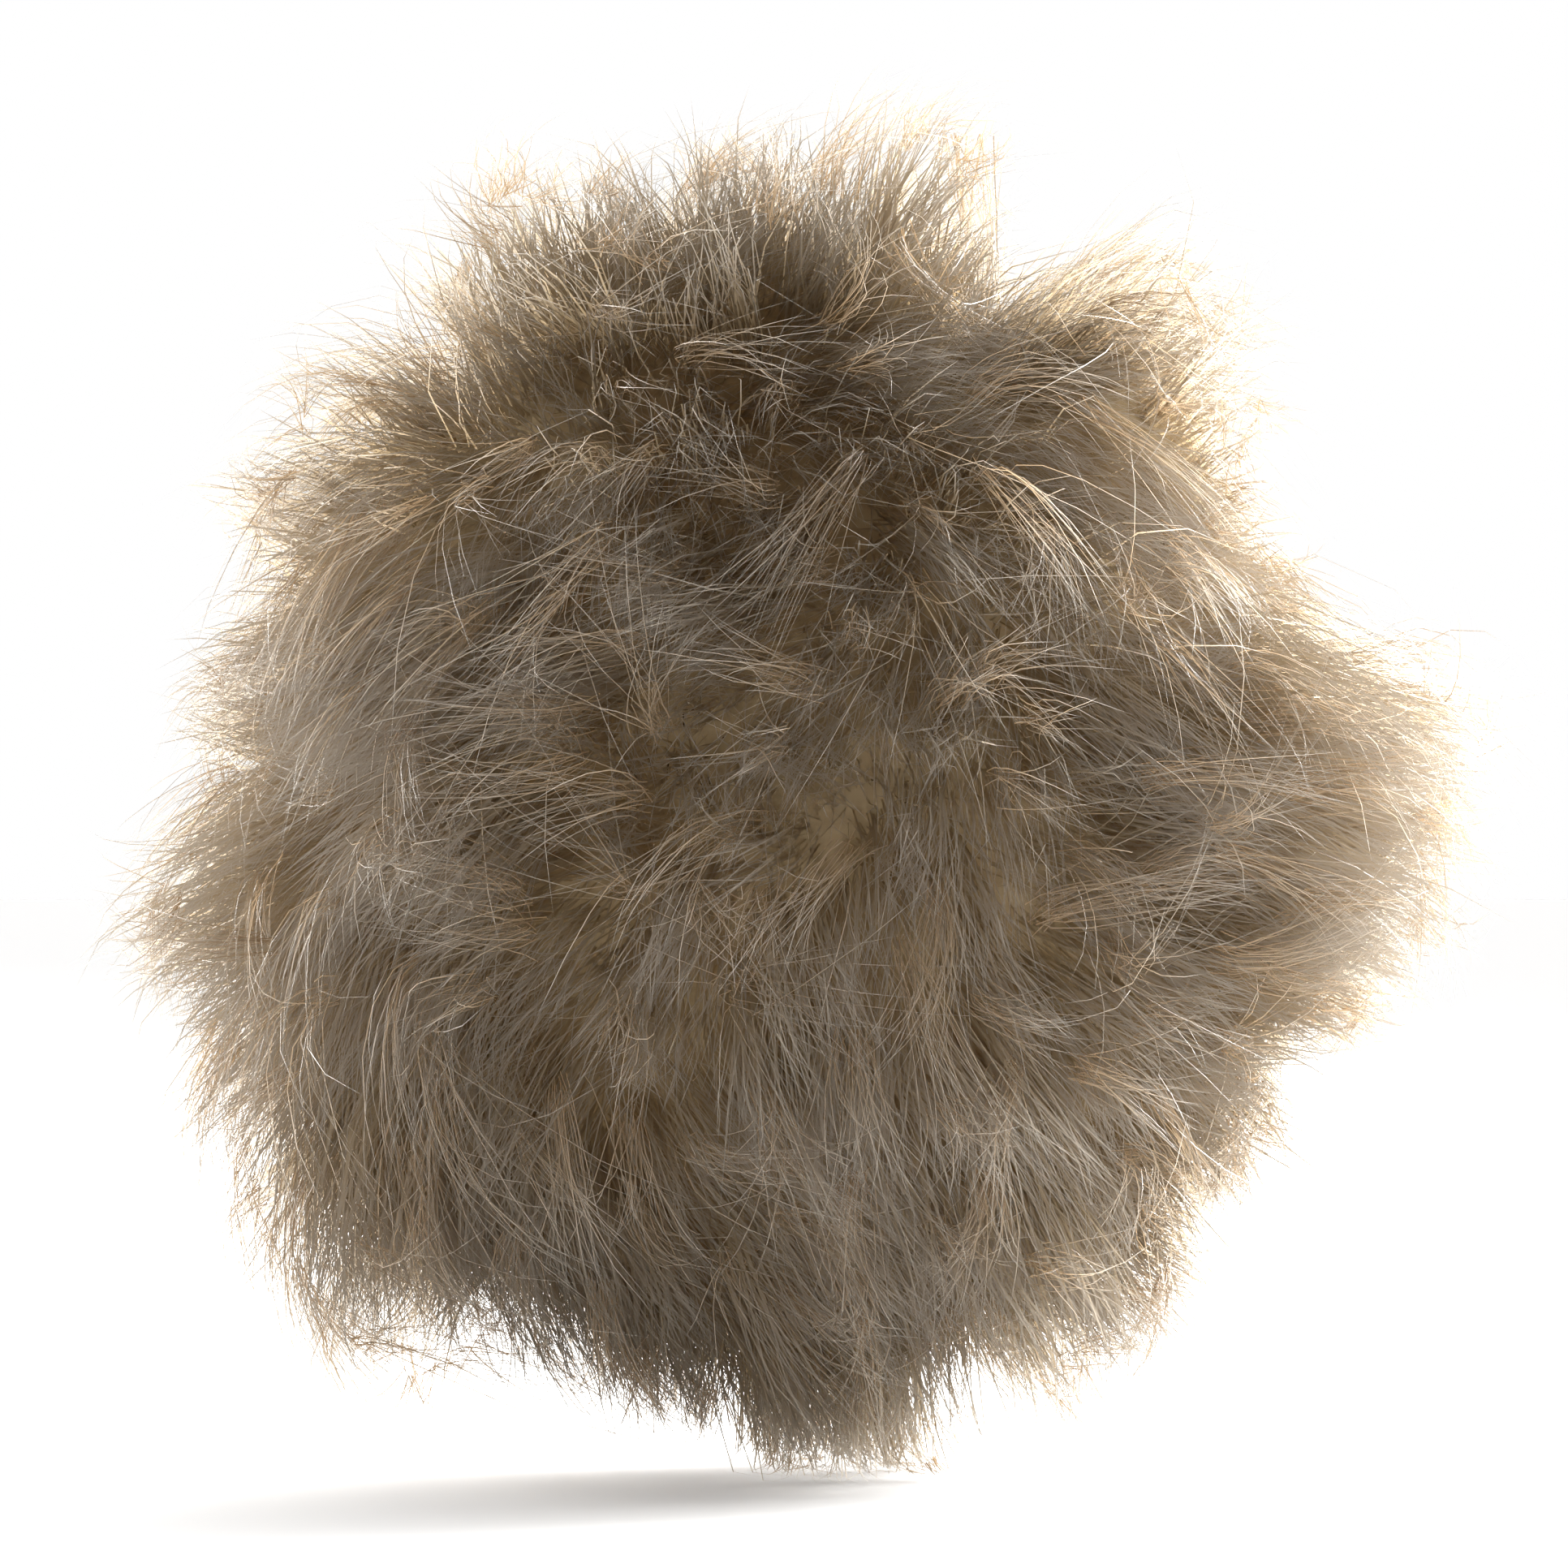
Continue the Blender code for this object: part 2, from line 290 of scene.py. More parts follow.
def lean_at(n):
    """The mean of the tufts' leans, each weighed by exp((cos angle - 1) / spread^2), none at the foot.

    On the face a mean that is shorter than the least lean is drawn out to it, in its own way.
    """
    spread = math.radians(LEAN_SPREAD)
    weight = np.exp((n @ TUFT_ROOTS.T - 1) / spread**2)
    mean = weight @ TUFT_LEANS / weight.sum(axis=1, keepdims=True)
    length = np.linalg.norm(mean, axis=1)
    inner, outer = LEAST_WITHIN
    least = math.radians(LEAST_LEAN) * eased((outer - np.hypot(n[:, 0], n[:, 2])) / (outer - inner))
    mean = mean * (np.maximum(length, least) / np.maximum(length, 1e-6))[:, None]
    uncombed, combed = np.cos(np.radians(UNCOMBED_WITHIN))
    share = eased((uncombed - n @ TO_FLAT_SPOT) / (uncombed - combed))
    return flat_on_ball(n, mean) * share[:, None]


def reach_at(n):
    """The outline's reach near its plane, an even ball elsewhere, and the room to the surface below."""
    clock = np.degrees(np.arctan2(n[:, 0], n[:, 2])) % 360
    angles, reaches = np.array(OUTLINE, float).T
    outline = np.interp(clock, angles % 360, reaches, period=360)
    rim = np.hypot(n[:, 0], n[:, 2])
    reach = FRONT_REACH + (outline - FRONT_REACH) * eased((rim - OUTLINE_FROM) / OUTLINE_FADE)
    pressed, free = np.radians(PRESSED_WITHIN)
    aside = np.arctan2(n[:, 0], -n[:, 2]) - math.atan2(TO_FLAT_SPOT[0], -TO_FLAT_SPOT[2])
    from_flat_spot = np.hypot(aside, PRESSED_DEPTH * np.arcsin(np.clip(n[:, 1], -1, 1)))
    room = (BALL_MIDDLE[2] + PRESSED_FUR) / np.maximum(-n[:, 2], math.cos(2 * free))
    return reach + (room - reach) * eased((free - from_flat_spot) / (free - pressed))


# %% [markdown]
# ## The ground of the fur
# Between the long fibres of fur fabric lies a short dense down, which hides the cloth. From outside
# it only shows as a warm depth, so it needs no fibres of its own: one closed lumpy ball on a grid of
# turn and height. Its colour runs from a little darker than the fibres' roots up to theirs, as painted
# shade in the gaps between the tufts. It dims the light that comes from behind and lets a little of
# it glow through, as a thick wad of down does.

# %% The ground's surface
GROUND_SHARE = 0.82  # of the pile's reach, where the pile is as long as on the face
GROUND_FOLLOWS = 0.35  # of the pile's longer and shorter places
GROUND_TURNS, GROUND_RINGS = 160, 80
LUMP_WITHIN = 14.0  # degrees from a tuft's root over which its lump fades
LUMP_HEIGHT = 0.05  # of the ground's radius
SURFACE_CLEARANCE = 0.1  # mm that the lowest fibres keep from the surface
SETTLE_HEIGHT = 4.0  # mm, below this the fur bends out level with the surface


def settled(z):
    """Heights under the settling height fade out as exp, towards the surface and never below it."""
    span = SETTLE_HEIGHT - SURFACE_CLEARANCE
    low = SURFACE_CLEARANCE + span * np.exp((z - SETTLE_HEIGHT) / span)
    return np.where(z < SETTLE_HEIGHT, low, z)


def sphere_grid(turns, rings):
    """Rows of points (sin v cos u, sin v sin u, cos v) between two poles, and the faces that join them."""
    u = np.arange(turns) * 2 * math.pi / turns
    v = np.arange(1, rings) * math.pi / rings
    x, y = np.outer(np.sin(v), np.cos(u)), np.outer(np.sin(v), np.sin(u))
    z = np.outer(np.cos(v), np.ones(turns))
    points = np.stack([x, y, z], axis=2).reshape(-1, 3)
    points = np.vstack([points, (0.0, 0.0, 1.0), (0.0, 0.0, -1.0)])
    k = np.arange(turns)
    after = (k + 1) % turns
    ring = np.arange(rings - 2)[:, None] * turns
    quads = np.stack([ring + k, ring + turns + k, ring + turns + after, ring + after], axis=2)
    top, bottom, last = len(points) - 2, len(points) - 1, (rings - 2) * turns
    caps = np.stack([np.full(turns, top), k, after], axis=1)
    feet = np.stack([last + after, last + k, np.full(turns, bottom)], axis=1)
    return points, quads.reshape(-1, 4).tolist() + caps.tolist() + feet.tolist()


def ground_at(n):
    """The ground's share of this: the even reach, plus a part of what the pile's reach differs by."""
    return GROUND_SHARE * (FRONT_REACH + GROUND_FOLLOWS * (reach_at(n) - FRONT_REACH))


def ground():
    """A closed ball at the ground's radius, less the lump's height where tufts part from each other."""
    n, faces = sphere_grid(GROUND_TURNS, GROUND_RINGS)
    middle = np.max(n @ TUFT_ROOTS.T, axis=1)
    least = math.cos(math.radians(LUMP_WITHIN))
    lump = eased((middle - least) / (1 - least))
    points = BALL_MIDDLE + n * (ground_at(n) * (1 - LUMP_HEIGHT + LUMP_HEIGHT * lump))[:, None]
    mesh = bpy.data.meshes.new("fur_ground")
    mesh.from_pydata((points * MM).tolist(), [], faces)
    mesh.shade_smooth()
    piece = bpy.data.objects.new("fur_ground", mesh)
    bpy.context.scene.collection.objects.link(piece)
    return piece


fur_ground = ground()
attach(fur_ground, "root")
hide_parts("fur_ball")
print("ground:", len(fur_ground.data.polygons), "faces")

# %% [markdown]
# ## From wisps to fibres
# Static and the fabric's weave hold fibres together in wisps of a dozen or two, and wisps lie
# together in locks, and locks in tufts. So each fibre draws in three times, towards the middle of
# its wisp, its lock and its tuft, and then it leans as the fur is combed there. A little chance at
# each level keeps it from looking drawn with a ruler. Near the tip the fibres splay again, which
# is what makes the soft brush ends that the picture shows.

# %% Chance, and who is whose neighbour
SEED = 11
BLOCK_ROWS = 4000  # so that a table of dot products stays small
chance = np.random.default_rng(SEED)


def scattered(n, degrees):
    """Directions pushed about by a normal spread of so many degrees."""
    return unit(n + chance.normal(0, math.radians(degrees), n.shape))


def sideways(n, degrees):
    """A lean flat on the ball in a random way, with a normal spread of so many degrees."""
    return flat_on_ball(n, chance.normal(0, math.radians(degrees), n.shape))


def nearest(n, middles):
    """The middle that is nearest to each direction: the largest dot product, a block of rows at a time."""
    blocks = [np.argmax(block @ middles.T, axis=1) for block in np.array_split(n, 1 + len(n) // BLOCK_ROWS)]
    return np.concatenate(blocks)


# %% The wisps
WISPS = 5600
LOCKS = 520
WISP_CHANCE = 2.2  # degrees, how far a whole wisp leans its own way
LOCK_CHANCE = 3.5  # degrees, how far a whole lock leans its own way
LOCK_SCATTER, WISP_SCATTER = 2.2, 0.7  # degrees that their middles stray from even places
LOCK_LENGTHS, WISP_LENGTHS = (0.94, 1.03), (0.93, 1.04)  # of the fur's reach there, least and most

lock_middles = scattered(even_points(LOCKS), LOCK_SCATTER)
lock_leans = sideways(lock_middles, LOCK_CHANCE)
lock_lengths = chance.uniform(*LOCK_LENGTHS, LOCKS)
wisp_middles = scattered(even_points(WISPS), WISP_SCATTER)
wisp_leans = sideways(wisp_middles, WISP_CHANCE)
wisp_lengths = chance.uniform(*WISP_LENGTHS, WISPS)
wisp_lock = nearest(wisp_middles, lock_middles)
lock_tuft = nearest(lock_middles, TUFT_ROOTS)
print(WISPS, "wisps in", LOCKS, "locks")

# %% The path of a fibre
FOOT_CALM = (13.0, 35.0)  # degrees from the flat spot: no chance leans, all of them
LEAN_POWER, SPLAY_POWER = 1.6, 2.4  # a fibre leans from its middle on, and splays near its tip


def calm_at(n):
    """1 where a fibre may lean by chance, and 0 near the flat spot, where the fur stands on its ends."""
    inner, outer = FOOT_CALM
    away = np.degrees(np.arccos(np.clip(n @ TO_FLAT_SPOT, -1, 1)))
    return eased((away - inner) / (outer - inner))[:, None]


def strand_paths(roots, draws, lean, low, top, rise, splay, bow, stations):
    """Where fibres run, as rows of stations in mm.

    At the share s of its length a fibre's direction is its root's, plus each draw, the lean and
    the splay times s to a power of their own, plus its bow times sin(pi s). Its distance from the
    middle goes from low to top as 1 - (1 - s)^rise, so with a rise above 1 it stands up first and
    then lies over. What comes low settles on the surface.
    """
    rows = []
    for s in stations:
        way = roots + sum(draw * s**power for draw, power in draws)
        way = unit(way + lean * s**LEAN_POWER + splay * s**SPLAY_POWER + bow * math.sin(math.pi * s))
        p = BALL_MIDDLE + way * (low + (top - low) * (1 - (1 - s) ** rise))[:, None]
        p[:, 2] = settled(p[:, 2])
        rows.append(p)
    return np.stack(rows, axis=1)


# %% Fibres as ribbons
TONES = 16  # columns of the fibres' own map, one for each tone of fibre
COLUMN_SIDES, COLUMN_MIDDLE = (0.15, 0.85), 0.5  # of a column's width: a fibre's two edges, its tip
MAP_MARGIN = 0.005  # that the map keeps from its upper and lower edge


def ribbons(name, paths, width, tone, roll, taper, as_ball):
    """A mesh of flat tapering fibres.

    Each fibre has two points at every station, the path plus and minus a half width across it, and
    one point at the tip. The half width falls as (1 - s) to the power of the taper. Across is
    square to the fibre and to the way out of the ball, give or take the roll's chance, so the flat
    side mostly looks outwards. The map's u is the tone's column and its v is s. Where as_ball is
    true the normals are the ball's own, so the fibres shade as one soft mass, as fine fur does.
    """
    count, stations, _ = paths.shape
    along = unit(paths[:, -1] - paths[:, 0])
    outwards = unit(paths[:, stations // 2] - BALL_MIDDLE)
    across = unit(np.cross(along, outwards + chance.normal(0, roll, along.shape)))
    s = np.linspace(0, 1, stations)[:-1]
    half = ((1 - s) ** taper)[None, :, None] * (width / 2)[:, None, None]
    left = paths[:, :-1] - across[:, None] * half
    right = paths[:, :-1] + across[:, None] * half
    pairs = np.stack([left, right], axis=2).reshape(count, -1, 3)
    verts = np.concatenate([pairs, paths[:, -1:]], axis=1)
    each = verts.shape[1]
    k = np.arange(stations - 2) * 2
    quads = np.stack([k, k + 1, k + 3, k + 2], axis=1).reshape(-1)
    loops = np.concatenate([quads, [each - 3, each - 2, each - 1]])
    starts = np.concatenate([np.arange(stations - 2) * 4, [(stations - 2) * 4]])
    per_fibre = len(loops)
    all_loops = (loops[None, :] + np.arange(count)[:, None] * each).reshape(-1)
    all_starts = (starts[None, :] + np.arange(count)[:, None] * per_fibre).reshape(-1)
    mesh = bpy.data.meshes.new(name)
    mesh.vertices.add(count * each)
    mesh.vertices.foreach_set("co", (verts * MM).astype(np.float32).reshape(-1))
    mesh.loops.add(len(all_loops))
    mesh.loops.foreach_set("vertex_index", all_loops.astype(np.int32))
    mesh.polygons.add(len(all_starts))
    mesh.polygons.foreach_set("loop_start", all_starts.astype(np.int32))
    mesh.update(calc_edges=True)
    mesh.shade_smooth()
    if as_ball:
        mesh.normals_split_custom_set_from_vertices(unit(verts.reshape(-1, 3) - BALL_MIDDLE).tolist())
    side = np.append(np.tile(COLUMN_SIDES, stations - 1), COLUMN_MIDDLE)
    up = np.append(np.repeat(s, 2), 1.0)
    u = (tone[:, None] + side[None, loops]) / TONES
    v = np.broadcast_to(MAP_MARGIN + (1 - 2 * MAP_MARGIN) * up[loops], u.shape)
    uv_map = mesh.uv_layers.new(name="OFBake")
    uv_map.uv.foreach_set("vector", np.stack([u, v], axis=2).astype(np.float32).reshape(-1))
    piece = bpy.data.objects.new(name, mesh)
    bpy.context.scene.collection.objects.link(piece)
    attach(piece, "root")
    print(name, count * (2 * stations - 3), "triangles")
    return piece


# %% [markdown]
# ## The soft pile
# Most of the fibres are alike: fine, soft, and nearly as long as their neighbours. They are shared
# out over four pieces by the quarter of the ball that they grow on, so that no mesh gets too heavy.

# %% The soft pile
FIBRES_A_WISP = 14
WISP_SPREAD = 1.25  # degrees, how far a wisp's roots stray from its middle
WISP_GATHER, LOCK_GATHER, TUFT_GATHER = 0.38, 0.36, 0.10  # of the way to each one's middle
DRAW_POWERS = (1.0, 1.3, 1.5)  # the wisp draws in along the whole fibre, the tuft nearer its tip
RIM_GATHER = 0.6  # how much more of it at the outline, where the picture shows pointed wisps
RIM_FROM, RIM_FADE = 0.75, 0.2  # of the way out: where that starts, and how much further it is full
LIE_OVER = 0.85  # of the tufts' leans
RISE = 1.3  # above 1 the fibres stand up first and lie over towards their tips
TUFT_FALL = 0.06  # how much shorter the fur is at the edge of a tuft
TUFT_EDGE = 1.2  # of the gap between tufts, past which it gets no shorter
LENGTH_CHANCE = (2.2, 1.5)  # the two powers of the beta spread of lengths, with more long ones
LEAST_LENGTH, LENGTH_RANGE = 0.75, 0.28  # of the fur's reach there: the least, and the spread above it
PILE_WIDTH = 0.15  # mm at the root: each stands for two or three real fibres
PILE_WIDTHS = (0.75, 1.15)  # of that, least and most
PILE_ROLL, PILE_TAPER = 0.2, 0.6  # how far it turns its edge outwards, and the power of its taper
PILE_START = 0.98  # of the ground's radius
PILE_STATIONS = np.array([0.0, 0.4, 0.75, 1.0])
PILE_SPLAY = 2.2  # degrees at the tips
PILE_BOW = 0.9  # degrees sideways, halfway up


def soft_pile():
    """Every wisp's fibres: roots about its middle, drawn in three times, lengths mostly near 1."""
    wisp = np.repeat(np.arange(WISPS), FIBRES_A_WISP)
    lock = wisp_lock[wisp]
    count = len(wisp)
    roots = scattered(wisp_middles[wisp], WISP_SPREAD)
    to_wisp = wisp_middles[wisp] - roots
    to_lock = lock_middles[lock] - roots
    to_tuft = TUFT_ROOTS[lock_tuft[lock]] - roots
    pointed = 1 + RIM_GATHER * eased((np.hypot(roots[:, 0], roots[:, 2]) - RIM_FROM) / RIM_FADE)[:, None]
    draws = (
        (WISP_GATHER * pointed * to_wisp, DRAW_POWERS[0]),
        (LOCK_GATHER * pointed * to_lock, DRAW_POWERS[1]),
        (TUFT_GATHER * to_tuft, DRAW_POWERS[2]),
    )
    drawn = unit(roots + sum(draw for draw, _ in draws))
    lean = lean_at(drawn) * LIE_OVER + (lock_leans[lock] + wisp_leans[wisp]) * calm_at(roots)
    edge = np.linalg.norm(to_tuft, axis=1) / math.radians(LOOSE_TUFT_GAP)
    top = reach_at(unit(drawn + lean)) * (1 - TUFT_FALL * np.clip(edge, 0, TUFT_EDGE) ** 2)
    length = chance.beta(*LENGTH_CHANCE, count) * LENGTH_RANGE + LEAST_LENGTH
    top *= length * lock_lengths[lock] * wisp_lengths[wisp]
    low = PILE_START * ground_at(roots)
    splay, bow = sideways(roots, PILE_SPLAY), sideways(roots, PILE_BOW)
    paths = strand_paths(roots, draws, lean, low, top, RISE, splay, bow, PILE_STATIONS)
    width = PILE_WIDTH * chance.uniform(*PILE_WIDTHS, count)
    tone = chance.integers(0, TONES, count)
    quarter = (roots[:, 0] > 0) * 1 + (roots[:, 2] > 0) * 2
    names = ("pile_lower_left", "pile_lower_right", "pile_upper_left", "pile_upper_right")
    pieces = []
    for k, name in enumerate(names):
        own = quarter == k
        pieces.append(ribbons(name, paths[own], width[own], tone[own], PILE_ROLL, PILE_TAPER, True))
    return pieces


pile = soft_pile()

# %% [markdown]
# ## The guard hairs
# Here and there a bundle of longer, paler and glossier hairs lies over the pile. They come out of
# one spot, follow their own tuft instead of the mean of the combing, and splay at the ends like a
# worn brush, a few bundles wide open like a star. They give the fur its sparkle, by their gloss and
# by the painted glints of their near-white tips, and its airy rim.

# %% The guard hairs
BUNDLES = 480
HAIRS_A_BUNDLE = 30
BUNDLE_SCATTER = 2.5  # degrees that the bundles' middles stray from even places
BUNDLE_SPREAD = 1.0  # degrees, how far a bundle's roots stray
BUNDLE_GATHER = 0.35  # of the way to its middle
BUNDLE_CHANCE = 4.5  # degrees that a bundle leans off its tuft's way
BUNDLE_LENGTHS, HAIR_LENGTHS = (0.95, 1.0), (0.93, 1.03)  # of the fur's reach there, least and most
GUARD_LIE_OVER = 0.5  # of its tuft's lean
GUARD_RISE = 1.25
GUARD_WIDTH = 0.075  # mm
GUARD_WIDTHS = (0.8, 1.2)  # of that, least and most
GUARD_ROLL, GUARD_TAPER = 0.8, 0.35  # turned about more than the pile, and as thick nearly to the tip
GUARD_START = 0.90  # of the fur's reach there: only the outer ends show
GUARD_STATIONS = np.linspace(0, 1, 6)
GUARD_SPLAY = (3.2, 9.0)  # degrees at the tips, of a bundle and of a star
FOOT_SPLAY = 0.3  # of that at the flat spot
STAR_SHARE = 0.12  # of the bundles
GUARD_BOW = (1.0, 0.8)  # degrees sideways halfway up, of a whole bundle and of each hair


def guard_hairs():
    """Bundles about even middles: each leans as its nearest tuft does, and its hairs' tips splay."""
    middles = scattered(even_points(BUNDLES), BUNDLE_SCATTER)
    tuft = nearest(middles, TUFT_ROOTS)
    own_way = sideways(middles, BUNDLE_CHANCE)
    bundle_lean = flat_on_ball(middles, TUFT_LEANS[tuft]) * GUARD_LIE_OVER + own_way
    bundle_splay = np.where(chance.random(BUNDLES) < STAR_SHARE, GUARD_SPLAY[1], GUARD_SPLAY[0])
    bundle_length = chance.uniform(*BUNDLE_LENGTHS, BUNDLES)
    bundle = np.repeat(np.arange(BUNDLES), HAIRS_A_BUNDLE)
    count = len(bundle)
    roots = scattered(middles[bundle], BUNDLE_SPREAD)
    draws = ((BUNDLE_GATHER * (middles[bundle] - roots), 1.0),)
    calm = calm_at(roots)
    lean = flat_on_ball(roots, bundle_lean[bundle]) * calm
    splay = sideways(roots, 1.0) * bundle_splay[bundle][:, None] * (FOOT_SPLAY + (1 - FOOT_SPLAY) * calm)
    bow = (sideways(middles, GUARD_BOW[0])[bundle] + sideways(roots, GUARD_BOW[1])) * calm
    top = reach_at(unit(roots + draws[0][0] + lean)) * bundle_length[bundle]
    top *= chance.uniform(*HAIR_LENGTHS, count)
    low = GUARD_START * reach_at(roots)
    paths = strand_paths(roots, draws, lean, low, top, GUARD_RISE, splay, bow, GUARD_STATIONS)
    width = GUARD_WIDTH * chance.uniform(*GUARD_WIDTHS, count)
    tone = chance.integers(0, TONES, count)
    right = roots[:, 0] > 0
    pieces = []
    for name, own in (("guard_hairs_left", ~right), ("guard_hairs_right", right)):
        pieces.append(ribbons(name, paths[own], width[own], tone[own], GUARD_ROLL, GUARD_TAPER, False))
    return pieces


guards = guard_hairs()

# %% [markdown]
# ## The materials
# The pile is modacrylic, a soft plastic fibre that is drawn fine and crimped. It is translucent, so
# a ball that is lit from behind glows at its rim and stays dark and warm in its middle. Its colour is
# darker at the root than at the tip: partly the fibre's own colour, partly painted shade deep in the
# pile. The material reads the fibre's own map: v runs from the root to the tip and gives the colour's
# depth, and the column of u gives each fibre's tone.


# %% Colours and nodes
def linear(hex_colour):
    """An sRGB hex colour as linear red, green, blue and alpha: ((c + 0.055) / 1.055)^2.4 above 0.04."""
    c = np.array([int(hex_colour[k : k + 2], 16) for k in (1, 3, 5)]) / 255
    c = np.where(c <= 0.04045, c / 12.92, ((c + 0.055) / 1.055) ** 2.4)
    return (*c.tolist(), 1.0)


def add_node(tree, kind, links=None, **settings):
    """Adds a node, sets its sockets and properties by name, and links its sockets from others'."""
    node = tree.nodes.new(kind)
    for name, value in settings.items():
        if hasattr(node, name):
            setattr(node, name, value)
        else:
            node.inputs[name.replace("_", " ")].default_value = value
    for socket, source in (links or {}).items():
        tree.links.new(source, node.inputs[socket])
    return node


def ramp(node, stops):
    """Gives a colour ramp its stops: (place, hex colour)."""
    node.color_ramp.elements[0].position = stops[0][0]
    node.color_ramp.elements[0].color = linear(stops[0][1])
    node.color_ramp.elements[1].position = stops[-1][0]
    node.color_ramp.elements[1].color = linear(stops[-1][1])
    for place, colour in stops[1:-1]:
        node.color_ramp.elements.new(place).color = linear(colour)
    return node


# %% Modacrylic fibres
FIBRE_IOR = 1.5


def fibre_material(name, stops, tones, roughness, gloss, through_share):
    """Drawn fibre: colour by v along it, times a tone by u's column, part of the light through it.

    Every fibre's column is a chance one already, so u itself spreads from the darkest tone to the
    lightest.
    """
    material = bpy.data.materials.new(name)
    material.use_nodes = True
    tree = material.node_tree
    shader = tree.nodes["Principled BSDF"]
    uv = add_node(tree, "ShaderNodeUVMap", uv_map="OFBake")
    split = add_node(tree, "ShaderNodeSeparateXYZ", {"Vector": uv.outputs["UV"]})
    depth = ramp(add_node(tree, "ShaderNodeValToRGB", {"Fac": split.outputs["Y"]}), stops)
    column = {"Value": split.outputs["X"]}
    tone = add_node(tree, "ShaderNodeMapRange", column, To_Min=tones[0], To_Max=tones[1])
    parts = {0: depth.outputs["Color"], "Scale": tone.outputs[0]}
    toned = add_node(tree, "ShaderNodeVectorMath", parts, operation="SCALE")
    tree.links.new(toned.outputs["Vector"], shader.inputs["Base Color"])
    shader.inputs["Roughness"].default_value = roughness
    shader.inputs["IOR"].default_value = FIBRE_IOR
    shader.inputs["Specular IOR Level"].default_value = gloss
    through = add_node(tree, "ShaderNodeBsdfTranslucent", {"Color": toned.outputs["Vector"]})
    both = add_node(tree, "ShaderNodeMixShader", {1: shader.outputs[0], 2: through.outputs[0]})
    both.inputs[0].default_value = through_share
    tree.links.new(both.outputs[0], tree.nodes["Material Output"].inputs["Surface"])
    return material


# The pile is crimped, so its shine is spread out until it looks matt: a warm beige at the root, partly
# painted shade deep in the pile, to a pale cream at the tip.
PILE_COLOUR_AND_SHADE_STOPS = ((0.0, "#a8926e"), (0.35, "#b5a388"), (0.7, "#c4baac"), (1.0, "#d2cdc5"))
PILE_TONES = (0.96, 1.03)
pile_material = fibre_material(
    "crimped_modacrylic", PILE_COLOUR_AND_SHADE_STOPS, PILE_TONES, roughness=0.6, gloss=0.0, through_share=0.8
)
for piece in pile:
    piece.data.materials.append(pile_material)

# A guard hair is thicker, straight and smooth: pale, with bright fine glints from its gloss and from its
# near-white tip, which is a painted glint; its darker root is painted shade deep in the pile.
GUARD_SHADE_AND_GLINT_STOPS = ((0.0, "#957b5a"), (0.5, "#aa967c"), (0.8, "#c4b8a8"), (1.0, "#e6e2db"))
GUARD_TONES = (0.85, 1.0)
guard_material = fibre_material(
    "glossy_modacrylic", GUARD_SHADE_AND_GLINT_STOPS, GUARD_TONES, roughness=0.35, gloss=0.5, through_share=0.5
)
for piece in guards:
    piece.data.materials.append(guard_material)


# %% The down under the pile
DOWN_CELL = 1.2  # mm, the size of a clump of down
# A warm beige, its darker end below the pile's roots: painted shade in the gaps between the tufts.
DOWN_SHADE_STOPS = ((0.3, "#958264"), (0.7, "#a89677"))
DOWN_THROUGH = 0.45  # of the light goes on into the ball, and warms the side in the shade


def down_with_painted_shade():
    """Matted short fibres that fill the ground between the long ones: warm beige, partly darker than the
    pile's roots as painted shade in the gaps between the tufts, without any gloss.
    """
    material = bpy.data.materials.new("matted_down_painted_shade")
    material.use_nodes = True
    tree = material.node_tree
    shader = tree.nodes["Principled BSDF"]
    place = add_node(tree, "ShaderNodeTexCoord")
    in_place = {"Vector": place.outputs["Object"]}
    clumps = add_node(tree, "ShaderNodeTexNoise", in_place, Scale=1 / (DOWN_CELL * MM), Detail=2.0)
    colour = ramp(add_node(tree, "ShaderNodeValToRGB", {"Fac": clumps.outputs["Fac"]}), DOWN_SHADE_STOPS)
    tree.links.new(colour.outputs["Color"], shader.inputs["Base Color"])
    shader.inputs["Roughness"].default_value = 1.0
    shader.inputs["Specular IOR Level"].default_value = 0.0
    through = add_node(tree, "ShaderNodeBsdfTranslucent", {"Color": colour.outputs["Color"]})
    both = add_node(tree, "ShaderNodeMixShader", {1: shader.outputs[0], 2: through.outputs[0]})
    both.inputs[0].default_value = DOWN_THROUGH
    tree.links.new(both.outputs[0], tree.nodes["Material Output"].inputs["Surface"])
    return material


fur_ground.data.materials.append(down_with_painted_shade())

# %% [markdown]
# ## The stage and the light
# The picture is lit from behind on pure white: the rim glows and the middle of the ball is in its
# own shade. So the world is bright behind the ball and dim on the camera's side, and a large soft
# light stands behind each shoulder, the right one higher and stronger. The floor is a pale sheet,
# pale enough to melt into the white behind it.

# %% The floor
FLOOR_RADIUS = 3.0  # metres
FLOOR_SIDES = 96
FLOOR_COLOUR = "#dadada"


def floor():
    """A flat disc: a ring of points at cos and sin of even turns, as one face."""
    turn = np.arange(FLOOR_SIDES) * 2 * math.pi / FLOOR_SIDES
    points = np.stack([np.cos(turn), np.sin(turn), np.zeros(FLOOR_SIDES)], axis=1) * FLOOR_RADIUS
    mesh = bpy.data.meshes.new("floor")
    mesh.from_pydata(points.tolist(), [], [list(range(FLOOR_SIDES))])
    material = bpy.data.materials.new("pale_sheet")
    material.use_nodes = True
    shader = material.node_tree.nodes["Principled BSDF"]
    shader.inputs["Base Color"].default_value = linear(FLOOR_COLOUR)
    shader.inputs["Roughness"].default_value = 0.9
    mesh.materials.append(material)
    piece = bpy.data.objects.new("floor", mesh)
    bpy.context.scene.collection.objects.link(piece)


floor()

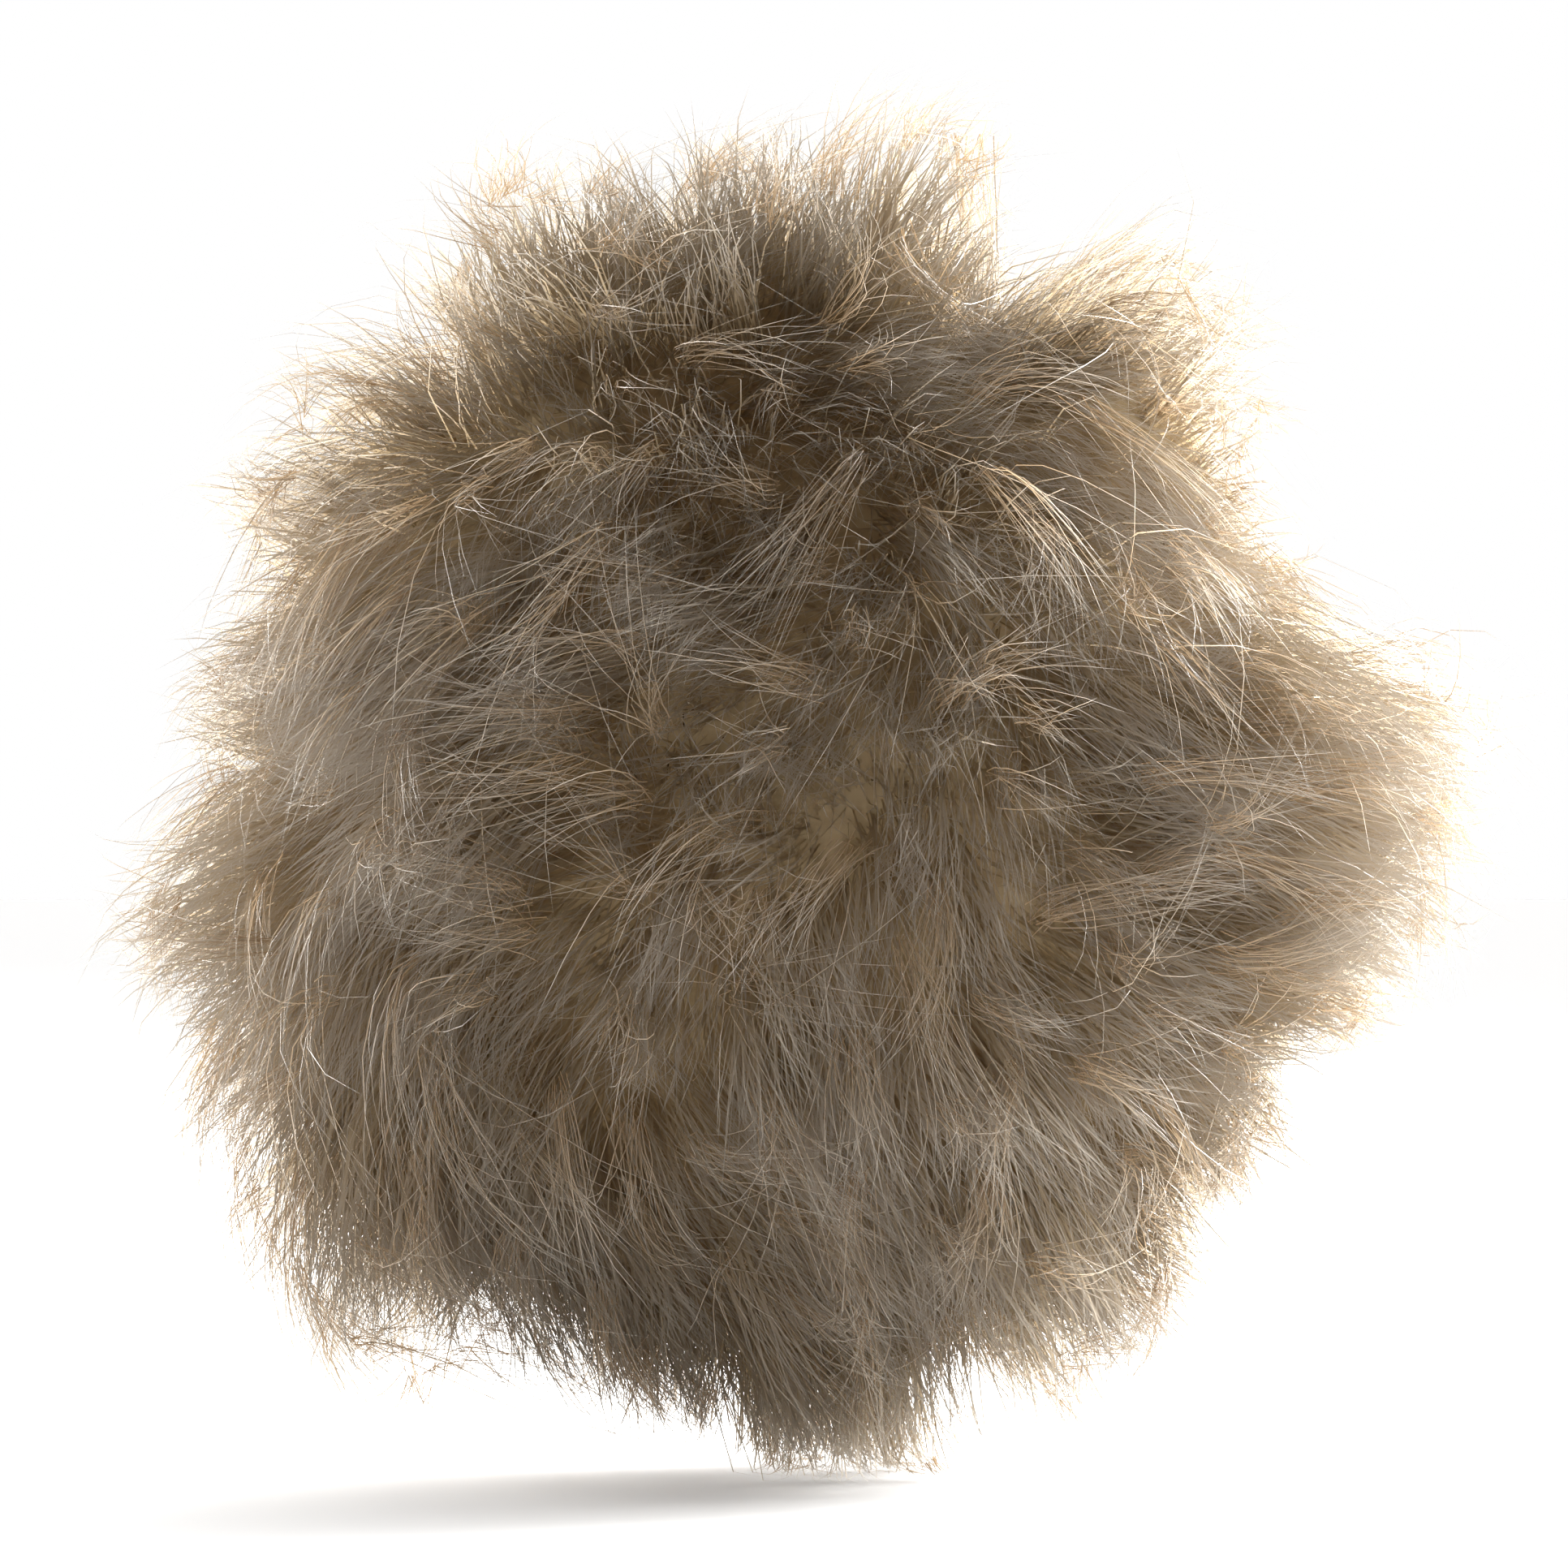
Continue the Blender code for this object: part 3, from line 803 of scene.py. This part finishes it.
# %% The light
WORLD_BACK, WORLD_FRONT = 4.0, 0.04  # light from behind the ball, and from the camera's side
FRONT_TO, BACK_FROM = -0.1, 0.8  # the direction's y: only front light below it, only back light above
FRONT_TINT = "#ffc68c"  # the little light in front has been through the fur or off warm walls
LAMP_SIZE = 0.5  # metres
# Columns: name, place in metres, watts
LAMPS = (
    ("window", (0.62, 0.46, 0.28), 50.0),
    ("left_rim", (-0.64, 0.32, 0.08), 22.0),
)


def soft_light(name, place, watts):
    """A square area light at a place in metres, turned to the ball's middle."""
    data = bpy.data.lights.new(name, "AREA")
    data.shape = "SQUARE"
    data.size = LAMP_SIZE
    data.energy = watts
    lamp = bpy.data.objects.new(name, data)
    lamp.location = place
    away = np.array(place) - BALL_MIDDLE * MM
    tilt = math.acos(away[2] / np.linalg.norm(away))
    lamp.rotation_euler = (tilt, 0, math.atan2(away[1], away[0]) + math.pi / 2)
    bpy.context.scene.collection.objects.link(lamp)


def studio_world():
    """White to the camera, and to the object a strength that goes from dim in front to bright behind."""
    world = bpy.data.worlds.new("studio")
    world.use_nodes = True
    bpy.context.scene.world = world
    tree = world.node_tree
    sky = tree.nodes["Background"]
    place = add_node(tree, "ShaderNodeTexCoord")
    split = add_node(tree, "ShaderNodeSeparateXYZ", {"Vector": place.outputs["Generated"]})
    lit = add_node(
        tree,
        "ShaderNodeMapRange",
        {"Value": split.outputs["Y"]},
        interpolation_type="SMOOTHSTEP",
        From_Min=FRONT_TO,
        From_Max=BACK_FROM,
    )
    tint = add_node(tree, "ShaderNodeMix", {"Factor": lit.outputs[0]}, data_type="RGBA")
    tint.inputs[6].default_value = [WORLD_FRONT * c for c in linear(FRONT_TINT)]
    tint.inputs[7].default_value = [WORLD_BACK] * 4
    path = add_node(tree, "ShaderNodeLightPath")
    shown = add_node(tree, "ShaderNodeMix", {"Factor": path.outputs["Is Camera Ray"]}, data_type="RGBA")
    tree.links.new(tint.outputs[2], shown.inputs[6])
    shown.inputs[7].default_value = (1, 1, 1, 1)
    tree.links.new(shown.outputs[2], sky.inputs["Color"])


studio_world()
for name, place, watts in LAMPS:
    soft_light(name, place, watts)
bpy.context.scene.view_settings.view_transform = "Standard"
